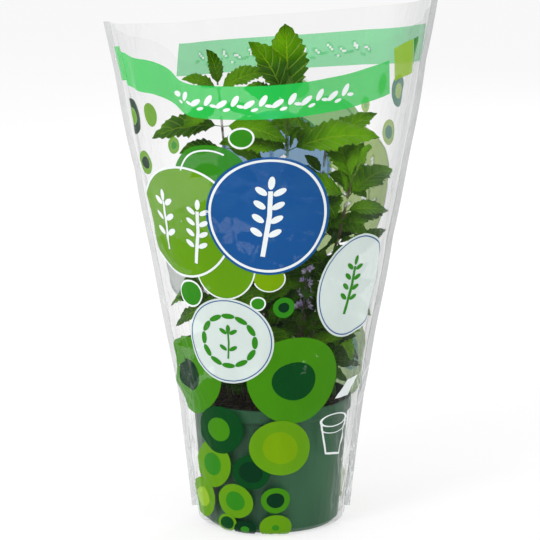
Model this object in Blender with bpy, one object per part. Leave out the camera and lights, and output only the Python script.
"""A potted mint plant in its clear film sleeve.

Units are metres and Z points up. The sleeve's two film panels lie on Z = 0 with their floor
flaps, the pot stands on the flaps, the soil fills the pot, and the stems are rooted in the soil.
Every leaf is a solid of its own. Pieces that touch in the real plant are GAP apart here.
"""

import math

import bmesh
import bpy
from mathutils import Matrix, Vector
from mathutils.bvhtree import BVHTree

MM = 0.001

# ---- clearance between neighbours ----
GAP = 0.3 * MM

# ---- pot ----
POT_RIM_RADIUS = 52.5 * MM
POT_BASE_RADIUS = 44.0 * MM
POT_HEIGHT = 84.0 * MM
POT_WALL = 1.0 * MM
COLLAR_HEIGHT = 9.0 * MM
COLLAR_STEP = 2.0 * MM  # how far the collar stands out from the wall below it
FOOT_HEIGHT = 3.0 * MM
FOOT_WIDTH = 6.0 * MM
FOOT_CHAMFER = 3.0 * MM
DRAIN_HOLES = 6
DRAIN_HOLE_RADIUS = 3.5 * MM
DRAIN_RING_RADIUS = 15.0 * MM
POT_SIDES = 48

# ---- soil ----
SOIL_BELOW_RIM = 6.0 * MM
SOIL_MOUND = 2.0 * MM  # how much higher the soil is in the middle than at its edge

# ---- sleeve ----
FILM = 0.3 * MM  # thicker than the real film, so that it can be a solid
SLEEVE_HEIGHT = 338.0 * MM  # at the two top corners
SLEEVE_TOP_HALF_WIDTH = 103.0 * MM  # along X, to the start of the fin
SLEEVE_TOP_HALF_DEPTH = 95.0 * MM  # along Y
SLEEVE_DIP = 17.0 * MM  # how much lower the top edge is in the middle of a panel
SLEEVE_EASE = 4.0 * MM  # room between the film and the pot
FLAP_HOLE_RADIUS = 22.0 * MM
FIN_WIDTH = 4.0 * MM
PANEL_COLUMNS = 24
CORNER_ROWS = 4
POT_SIDE_ROWS = 3
TAPER_ROWS = 9

# ---- stems ----
STEM_RADIUS = 1.5 * MM  # at the soil
STEM_TIP_SHARE = 0.6  # radius at the tip, as a share of the radius at the soil
ROOTED_DEPTH = 14.0 * MM
STEM_RINGS = 12
SQUARE_FLAT = 0.8  # a mint stem is square: its flats lie at this share of its corner radius

# Each stem: name, its foot on the soil (x, y), its top (x, y, height over the floor), how far it
# bows outwards, and its opposite pairs of leaves from the top down. A pair is its place along the
# stem, the direction of its first leaf, the lengths of its two leaves and how steeply they rise.
# Each pair stands about square to its neighbours. Lengths are in millimetres, angles in degrees.
STEMS = (
    (
        "centre",
        (3, -2),
        (11, -4, 276),
        3,
        (
            (1.00, 92, 58, 26, 76),
            (0.85, 6, 60, 44, 24),
            (0.66, 100, 50, 48, 8),
            (0.42, 10, 46, 44, -12),
        ),
    ),
    (
        "left_tall",
        (-10, 4),
        (-34, 4, 288),
        4,
        (
            (0.99, 12, 34, 24, 34),
            (0.87, 172, 46, 44, 6),
            (0.66, 82, 48, 46, 2),
            (0.42, 165, 46, 44, -12),
        ),
    ),
    (
        "right_back",
        (10, 9),
        (36, 16, 246),
        5,
        (
            (0.99, 35, 44, 42, 44),
            (0.79, 120, 48, 46, 12),
            (0.52, 25, 48, 44, -6),
        ),
    ),
    (
        "right_front",
        (13, -8),
        (52, -10, 228),
        6,
        (
            (1.00, 115, 46, 38, 62),
            (0.93, 18, 46, 42, 32),
            (0.72, 105, 44, 40, -18),
            (0.48, 15, 34, 42, -8),
        ),
    ),
    (
        "right_low",
        (19, 2),
        (46, 6, 172),
        4,
        (
            (0.98, 8, 36, 36, 34),
            (0.60, 98, 40, 40, 0),
        ),
    ),
    (
        "left_low",
        (-18, -5),
        (-48, -10, 168),
        4,
        (
            (0.98, 172, 36, 36, 38),
            (0.58, 82, 38, 38, -4),
        ),
    ),
    (
        "front_middle",
        (-4, -18),
        (-14, -36, 180),
        4,
        (
            (0.98, 20, 38, 36, 30),
            (0.55, 110, 40, 40, -8),
        ),
    ),
    (
        "back_middle",
        (-6, 18),
        (-8, 38, 196),
        4,
        ((0.98, 170, 40, 38, 28),),
    ),
    (
        "flowering",
        (9, -17),
        (20, -30, 144),
        3,
        ((0.80, 30, 34, 34, 10),),
    ),
)

# ---- leaves ----
LEAF_THICKNESS = 0.4 * MM
LEAF_SLENDERNESS = 0.44  # width as a share of length
PETIOLE_SHARE = 0.09  # the stalk's share of a leaf's length
PETIOLE_HALF_WIDTH = 0.7 * MM
LEAF_DROOP = 38.0  # how many degrees a leaf bends down between its foot and its tip
LEAF_FOLD = 0.22  # how far the edges rise over the midrib, as a share of the half width
LEAF_ROLL_SHARE = 0.6  # how far a blade rolls about its stalk to face the light
LIGHT_DIRECTION = (-0.15, -0.85, 0.5)  # where the plant's light came from while it grew
LEAF_ROWS = 9

# ---- flower spike ----
SPIKE_LENGTH = 32.0 * MM
SPIKE_WHORLS = 4
SPIKE_WHORL_RADIUS = 5.5 * MM
SPIKE_SIDES = 12

# ---- levels that follow from the sizes above ----
POT_FLOOR_Z = FILM + GAP  # where the pot's foot ring stands
POT_RIM_Z = POT_FLOOR_Z + POT_HEIGHT
SOIL_EDGE_Z = POT_RIM_Z - SOIL_BELOW_RIM
SOIL_TOP_Z = SOIL_EDGE_Z + SOIL_MOUND
COLLAR_Z = POT_RIM_Z - COLLAR_HEIGHT
WALL_TOP_RADIUS = POT_RIM_RADIUS - COLLAR_STEP


# ---------------------------------------------------------------- tools


def clear_scene():
    for thing in list(bpy.data.objects):
        bpy.data.objects.remove(thing, do_unlink=True)


def make_material(name, colour, roughness, alpha=1.0):
    material = bpy.data.materials.new(name)
    material.use_nodes = True
    shader = material.node_tree.nodes["Principled BSDF"]
    shader.inputs["Base Color"].default_value = (*colour, 1.0)
    shader.inputs["Roughness"].default_value = roughness
    shader.inputs["Metallic"].default_value = 0.0
    shader.inputs["Alpha"].default_value = alpha
    return material


def add_object(name, bm, material, smooth=True):
    """Turn a bmesh into a named object with one material."""
    mesh = bpy.data.meshes.new(name)
    bm.to_mesh(mesh)
    bm.free()
    mesh.materials.append(material)
    if smooth:
        mesh.shade_smooth()
        mesh.set_sharp_from_angle(angle=math.radians(40))
    thing = bpy.data.objects.new(name, mesh)
    bpy.context.collection.objects.link(thing)
    return thing


def turned(profile, sides, closed=False):
    """Spin a profile of (radius, height) points round Z into a closed body."""
    bm = bmesh.new()
    points = [bm.verts.new((radius, 0.0, height)) for radius, height in profile]
    edges = [bm.edges.new(pair) for pair in zip(points, points[1:])]
    if closed:
        edges.append(bm.edges.new((points[-1], points[0])))
    bmesh.ops.spin(
        bm,
        geom=points + edges,
        cent=(0, 0, 0),
        axis=(0, 0, 1),
        angle=2 * math.pi,
        steps=sides,
        use_merge=True,
    )
    bmesh.ops.remove_doubles(bm, verts=bm.verts, dist=0.001 * MM)
    bmesh.ops.recalc_face_normals(bm, faces=bm.faces)
    return bm


def cut(thing, cutter):
    """Take a hidden cutter away from a body."""
    cutter.hide_render = True
    cutter.display_type = "WIRE"
    boolean = thing.modifiers.new("cut", "BOOLEAN")
    boolean.operation = "DIFFERENCE"
    boolean.solver = "EXACT"
    boolean.object = cutter


def mix(first, second, share):
    return first + (second - first) * share


# ---------------------------------------------------------------- pot and soil


def inner_radius(height):
    """The radius of the pot's inside at a height over the floor."""
    share = (height - POT_FLOOR_Z) / (COLLAR_Z - POT_FLOOR_Z)
    return mix(POT_BASE_RADIUS, WALL_TOP_RADIUS, share) - POT_WALL


def outer_radius(height):
    """The radius of the pot's outside at a height over the floor."""
    if height >= COLLAR_Z:
        return POT_RIM_RADIUS
    share = (height - POT_FLOOR_Z) / (COLLAR_Z - POT_FLOOR_Z)
    return mix(POT_BASE_RADIUS, WALL_TOP_RADIUS, share)


def make_pot(material):
    floor = POT_FLOOR_Z
    foot_inside = POT_BASE_RADIUS - FOOT_WIDTH
    profile = (
        (0.0, floor + FOOT_HEIGHT),
        (foot_inside, floor + FOOT_HEIGHT),
        (foot_inside + POT_WALL, floor),
        (POT_BASE_RADIUS - FOOT_CHAMFER, floor),
        (outer_radius(floor + FOOT_CHAMFER), floor + FOOT_CHAMFER),
        (WALL_TOP_RADIUS, COLLAR_Z),
        (POT_RIM_RADIUS - 0.4 * POT_WALL, COLLAR_Z + 0.4 * POT_WALL),
        (POT_RIM_RADIUS, COLLAR_Z + POT_WALL),
        (POT_RIM_RADIUS, POT_RIM_Z - 0.4 * POT_WALL),
        (POT_RIM_RADIUS - 0.4 * POT_WALL, POT_RIM_Z),
        (POT_RIM_RADIUS - POT_WALL, POT_RIM_Z),
        (POT_RIM_RADIUS - POT_WALL, COLLAR_Z + POT_WALL),
        (inner_radius(COLLAR_Z), COLLAR_Z),
        (inner_radius(floor + FOOT_CHAMFER), floor + FOOT_CHAMFER),
        (POT_BASE_RADIUS - FOOT_CHAMFER - 0.6 * POT_WALL, floor + POT_WALL),
        (foot_inside + 2 * POT_WALL, floor + POT_WALL),
        (foot_inside + POT_WALL, floor + FOOT_HEIGHT + POT_WALL),
        (0.0, floor + FOOT_HEIGHT + POT_WALL),
    )
    pot = add_object("pot", turned(profile, POT_SIDES), material)

    drill = bmesh.new()
    for number in range(DRAIN_HOLES):
        angle = 2 * math.pi * (number + 0.5) / DRAIN_HOLES
        place = Vector((math.cos(angle), math.sin(angle), 0.0)) * DRAIN_RING_RADIUS
        place.z = floor + FOOT_HEIGHT
        bmesh.ops.create_cone(
            drill,
            cap_ends=True,
            segments=16,
            radius1=DRAIN_HOLE_RADIUS,
            radius2=DRAIN_HOLE_RADIUS,
            depth=4 * POT_WALL + FOOT_HEIGHT,
            matrix=Matrix.Translation(place),
        )
    cut(pot, add_object("pot_drain_cutter", drill, material, smooth=False))
    return pot


def make_soil(material, stems):
    """The soil fills the pot and has a pocket for the foot of each stem."""
    base = POT_FLOOR_Z + FOOT_HEIGHT + POT_WALL + GAP
    edge = inner_radius(min(SOIL_EDGE_Z, COLLAR_Z)) - GAP
    profile = (
        (0.0, base),
        (inner_radius(base) - GAP, base),
        (edge, SOIL_EDGE_Z),
        (0.80 * edge, mix(SOIL_EDGE_Z, SOIL_TOP_Z, 0.5)),
        (0.45 * edge, mix(SOIL_EDGE_Z, SOIL_TOP_Z, 0.9)),
        (0.0, SOIL_TOP_Z),
    )
    soil = add_object("soil", turned(profile, POT_SIDES), material)

    pockets = bmesh.new()
    for stem in stems:
        width = 2 * (STEM_RADIUS + GAP)
        top = SOIL_TOP_Z + 2 * MM
        bottom = SOIL_TOP_Z - ROOTED_DEPTH - GAP
        place = Vector((stem.foot.x, stem.foot.y, (top + bottom) / 2))
        bmesh.ops.create_cone(
            pockets,
            cap_ends=True,
            segments=12,
            radius1=width / 2,
            radius2=width / 2,
            depth=top - bottom,
            matrix=Matrix.Translation(place),
        )
    cut(soil, add_object("soil_pocket_cutter", pockets, material, smooth=False))
    return soil


# ---------------------------------------------------------------- sleeve


def sleeve_rows():
    """The film's rows from the flap's inner edge up: half width, half depth, height, and how much
    of the top edge's dip the row takes."""
    low = FILM / 2
    base_radius = POT_BASE_RADIUS + SLEEVE_EASE
    rim_radius = POT_RIM_RADIUS + SLEEVE_EASE
    flat_radius = POT_BASE_RADIUS - FOOT_CHAMFER + GAP
    corner = base_radius - flat_radius
    rows = [(FLAP_HOLE_RADIUS, FLAP_HOLE_RADIUS, low, 0.0)]
    for step in range(CORNER_ROWS + 1):
        angle = math.pi / 2 * step / CORNER_ROWS
        radius = flat_radius + corner * math.sin(angle)
        rows.append((radius, radius, low + corner * (1 - math.cos(angle)), 0.0))
    for step in range(1, POT_SIDE_ROWS + 1):
        share = step / POT_SIDE_ROWS
        radius = mix(base_radius, rim_radius, share)
        rows.append((radius, radius, mix(low + corner, POT_RIM_Z, share), 0.0))
    for step in range(1, TAPER_ROWS + 1):
        share = step / TAPER_ROWS
        half_width = mix(rim_radius, SLEEVE_TOP_HALF_WIDTH, share)
        half_depth = mix(rim_radius, SLEEVE_TOP_HALF_DEPTH, share)
        rows.append((half_width, half_depth, mix(POT_RIM_Z, SLEEVE_HEIGHT, share), share))
    return rows


def make_panel(name, side, material):
    """One film panel. side is -1 for the front and 1 for the back."""
    bm = bmesh.new()
    rows = sleeve_rows()
    fin_from = CORNER_ROWS + 1
    seam = (GAP + FILM) / 2
    grid = []
    for half_width, half_depth, height, dip_share in rows:
        line = []
        for column in range(PANEL_COLUMNS + 1):
            across = 2 * column / PANEL_COLUMNS - 1
            angle = math.pi / 2 * (1 - across)
            x = half_width * math.cos(angle)
            y = side * (seam + half_depth * math.sin(angle))
            z = height - dip_share * SLEEVE_DIP * (1 - across**2)
            line.append(bm.verts.new((x, y, z)))
        grid.append(line)
    for number in range(fin_from, len(rows)):
        line = grid[number]
        for edge, sign in ((0, -1), (-1, 1)):
            corner = line[edge].co
            fin = bm.verts.new((corner.x + sign * FIN_WIDTH, corner.y, corner.z))
            if sign < 0:
                line.insert(0, fin)
            else:
                line.append(fin)
    for lower, upper in zip(grid, grid[1:]):
        offset = (len(upper) - len(lower)) // 2
        shared = upper[offset : len(upper) - offset]
        for number in range(len(lower) - 1):
            bm.faces.new((lower[number], lower[number + 1], shared[number + 1], shared[number]))
    bmesh.ops.recalc_face_normals(bm, faces=bm.faces)
    panel = add_object(name, bm, material)
    solid = panel.modifiers.new("film", "SOLIDIFY")
    solid.thickness = FILM
    solid.offset = 0.0
    solid.use_even_offset = True
    return panel


# ---------------------------------------------------------------- plant


class Stem:
    """A stem's path: straight down into the soil, then curved up to its top."""

    def __init__(self, name, foot, top, bow, pairs):
        self.name = name
        self.foot = Vector((foot[0] * MM, foot[1] * MM, SOIL_TOP_Z))
        self.top = Vector(top) * MM
        self.bow = bow * MM
        self.pairs = pairs

    def point(self, share):
        """The point at a share of the way from the soil to the top."""
        out = Vector((self.top.x - self.foot.x, self.top.y - self.foot.y, 0.0))
        out.normalize()
        place = self.foot.lerp(self.top, share)
        lean = share**1.3
        place.x = mix(self.foot.x, self.top.x, lean)
        place.y = mix(self.foot.y, self.top.y, lean)
        return place + out * self.bow * math.sin(math.pi * share)

    def radius(self, share):
        return STEM_RADIUS * mix(1.0, STEM_TIP_SHARE, share)


def make_stem(stem, material):
    bm = bmesh.new()
    path = [stem.foot - Vector((0, 0, ROOTED_DEPTH)), stem.foot]
    radii = [STEM_RADIUS, STEM_RADIUS]
    for step in range(1, STEM_RINGS):
        share = step / (STEM_RINGS - 1)
        path.append(stem.point(share))
        radii.append(stem.radius(share))
    facing = math.radians(stem.pairs[0][1])
    rings = []
    for number, centre in enumerate(path):
        before = path[max(number - 1, 0)]
        after = path[min(number + 1, len(path) - 1)]
        turn = Vector((0, 0, 1)).rotation_difference(after - before)
        ring = []
        for corner in range(8):
            reach = radii[number] * (1.0 if corner % 2 == 0 else SQUARE_FLAT)
            angle = facing + math.pi / 4 * (corner + 1)
            spoke = Vector((math.cos(angle), math.sin(angle), 0.0)) * reach
            ring.append(bm.verts.new(centre + turn @ spoke))
        rings.append(ring)
    for lower, upper in zip(rings, rings[1:]):
        for corner in range(8):
            after = (corner + 1) % 8
            bm.faces.new((lower[corner], lower[after], upper[after], upper[corner]))
    bm.faces.new(list(reversed(rings[0])))
    bm.faces.new(rings[-1])
    bmesh.ops.recalc_face_normals(bm, faces=bm.faces)
    return add_object(f"stem_{stem.name}", bm, material)


def leaf_half_width(share, length):
    """Half the leaf's width at a share of its length: a stalk, then a pointed oval blade."""
    blade = max(0.0, (share - PETIOLE_SHARE) / (1 - PETIOLE_SHARE))
    oval = math.sin(math.pi * min(blade, 1.0) ** 0.84) ** 0.85 if 0 < blade < 1 else 0.0
    stalk = PETIOLE_HALF_WIDTH * (1 - 0.6 * share)
    return max(stalk, 0.5 * LEAF_SLENDERNESS * length * oval)


def leaf_roll(azimuth, rise):
    """How far a blade rolls about its own length to turn its upper side to the light."""
    light = Vector(LIGHT_DIRECTION)
    slope = math.radians(rise - LEAF_DROOP / 2)
    side = Vector((-math.sin(azimuth), math.cos(azimuth), 0.0))
    flat = Vector((math.cos(azimuth), math.sin(azimuth), 0.0))
    up = Vector((0, 0, 1)) * math.cos(slope) - flat * math.sin(slope)
    return -LEAF_ROLL_SHARE * math.atan2(light.dot(side), max(light.dot(up), 0.0))


def leaf_body(length, rise, roll, swelling=0.0):
    """A leaf along +X from its foot, as a closed bmesh. The stalk takes up the roll. swelling
    makes it fatter all round, for finding what comes too close to it."""
    bm = bmesh.new()
    half_thickness = LEAF_THICKNESS / 2 + swelling
    tops, bottoms = [], []
    x = z = 0.0
    step_length = length / (LEAF_ROWS - 1)
    for row in range(LEAF_ROWS):
        share = row / (LEAF_ROWS - 1)
        slope = math.radians(rise - LEAF_DROOP * share)
        along = Vector((math.cos(slope), 0, math.sin(slope)))
        upright = Vector((-math.sin(slope), 0, math.cos(slope)))
        turn = roll * min(1.0, share / (2 * PETIOLE_SHARE))
        across = Vector((0, 1, 0)) * math.cos(turn) + upright * math.sin(turn)
        up = upright * math.cos(turn) - Vector((0, 1, 0)) * math.sin(turn)
        half_width = leaf_half_width(share, length) + swelling
        top, bottom = [], []
        for side in (-1, 0, 1):
            lift = LEAF_FOLD * half_width * abs(side)
            middle = Vector((x, 0, z)) + across * side * half_width + up * lift
            top.append(bm.verts.new(middle + up * half_thickness))
            bottom.append(bm.verts.new(middle - up * half_thickness))
        tops.append(top)
        bottoms.append(bottom)
        x += along.x * step_length
        z += along.z * step_length
    for row in range(LEAF_ROWS - 1):
        for side in range(2):
            for layer in (tops, bottoms):
                bm.faces.new(
                    (
                        layer[row][side],
                        layer[row][side + 1],
                        layer[row + 1][side + 1],
                        layer[row + 1][side],
                    )
                )
        for side in (0, 2):
            bm.faces.new(
                (tops[row][side], tops[row + 1][side], bottoms[row + 1][side], bottoms[row][side])
            )
    for row in (0, LEAF_ROWS - 1):
        for side in range(2):
            bm.faces.new(
                (tops[row][side], tops[row][side + 1], bottoms[row][side + 1], bottoms[row][side])
            )
    bmesh.ops.recalc_face_normals(bm, faces=bm.faces)
    return bm


def leaf_place(stem, at, azimuth):
    """Where a leaf's foot meets the stem's skin, as a matrix that turns +X outwards."""
    out = Vector((math.cos(azimuth), math.sin(azimuth), 0.0))
    foot = stem.point(at) + out * (stem.radius(at) + GAP + LEAF_THICKNESS)
    return Matrix.Translation(foot) @ Matrix.Rotation(azimuth, 4, "Z")


def leaf_tries():
    """Ways for a leaf to get out of its neighbours' way, the smallest change first: a turn round
    the stem, a change of its rise, both in degrees, and a share of its length."""
    tries = []
    for turn in (0, 10, -10, 20, -20, 32, -32, 45, -45, 60, -60):
        for lift in (0, 10, -10, 20, -20, 32, 45, -32):
            for share in (1.0, 0.85, 0.7, 0.55):
                cost = abs(turn) + 1.2 * abs(lift) + 160 * (1 - share)
                tries.append((cost, turn, lift, share))
    return sorted(tries)


def tree_of(bm):
    return BVHTree.FromBMesh(bm)


def tree_of_object(thing):
    graph = bpy.context.evaluated_depsgraph_get()
    return BVHTree.FromObject(thing, graph)


def make_leaf(name, stem, at, azimuth, length, rise, obstacles, material):
    """Place a leaf where it clears everything that is already there."""
    for _, turn, lift, share in leaf_tries():
        heading = azimuth + math.radians(turn)
        place = leaf_place(stem, at, heading)
        roll = leaf_roll(heading, rise + lift)
        probe = leaf_body(length * share, rise + lift, roll, swelling=GAP)
        probe.transform(place)
        probe_tree = tree_of(probe)
        probe.free()
        if not any(probe_tree.overlap(other) for other in obstacles):
            break
    bm = leaf_body(length * share, rise + lift, roll)
    bm.transform(place)
    obstacles.append(tree_of(bm))
    return add_object(name, bm, material)


def make_leaves(stems, obstacles, material):
    """Opposite pairs from the top of each stem down."""
    for stem in stems:
        for number, (at, direction, first, second, rise) in enumerate(stem.pairs, start=1):
            for letter, length, turn in (("a", first, 0), ("b", second, 180)):
                make_leaf(
                    f"leaf_{stem.name}_{number}{letter}",
                    stem,
                    at,
                    math.radians(direction + turn),
                    length * MM,
                    rise,
                    obstacles,
                    material,
                )


def make_flower_spike(stem, material):
    """Whorls of small flowers round the top of one stem, as a turned body."""
    core = stem.radius(1.0)
    profile = [(0.0, 0.0), (core, 0.0)]
    pitch = SPIKE_LENGTH / SPIKE_WHORLS
    for whorl in range(SPIKE_WHORLS):
        reach = SPIKE_WHORL_RADIUS * mix(1.0, 0.45, whorl / (SPIKE_WHORLS - 1))
        low = whorl * pitch
        profile.append((core, low + 0.15 * pitch))
        profile.append((reach, low + 0.45 * pitch))
        profile.append((reach, low + 0.70 * pitch))
    profile.append((0.0, SPIKE_LENGTH))
    bm = turned(profile, SPIKE_SIDES)
    direction = stem.point(1.0) - stem.point(0.9)
    turn = Vector((0, 0, 1)).rotation_difference(direction)
    foot = stem.point(1.0) + direction.normalized() * GAP * 1.5
    bm.transform(Matrix.Translation(foot) @ turn.to_matrix().to_4x4())
    return add_object("flower_spike", bm, material)


# ---------------------------------------------------------------- assembly


def main():
    clear_scene()
    film = make_material("clear_film", (0.90, 0.93, 0.92), 0.12, alpha=0.3)
    plastic = make_material("pot_plastic", (0.063, 0.153, 0.089), 0.4)
    earth = make_material("soil", (0.035, 0.022, 0.014), 0.95)
    stalk = make_material("stem_green", (0.12, 0.16, 0.05), 0.55)
    green = make_material("leaf_green", (0.045, 0.155, 0.018), 0.5)
    lilac = make_material("flower_lilac", (0.45, 0.32, 0.60), 0.7)

    stems = [Stem(*row) for row in STEMS]
    front = make_panel("sleeve_front_panel", -1, film)
    back = make_panel("sleeve_back_panel", 1, film)
    pot = make_pot(plastic)
    soil = make_soil(earth, stems)
    stem_bodies = [make_stem(stem, stalk) for stem in stems]
    spike = make_flower_spike(stems[-1], lilac)

    solids = [front, back, pot, soil, spike, *stem_bodies]
    obstacles = [tree_of_object(thing) for thing in solids]
    make_leaves(stems, obstacles, green)


main()
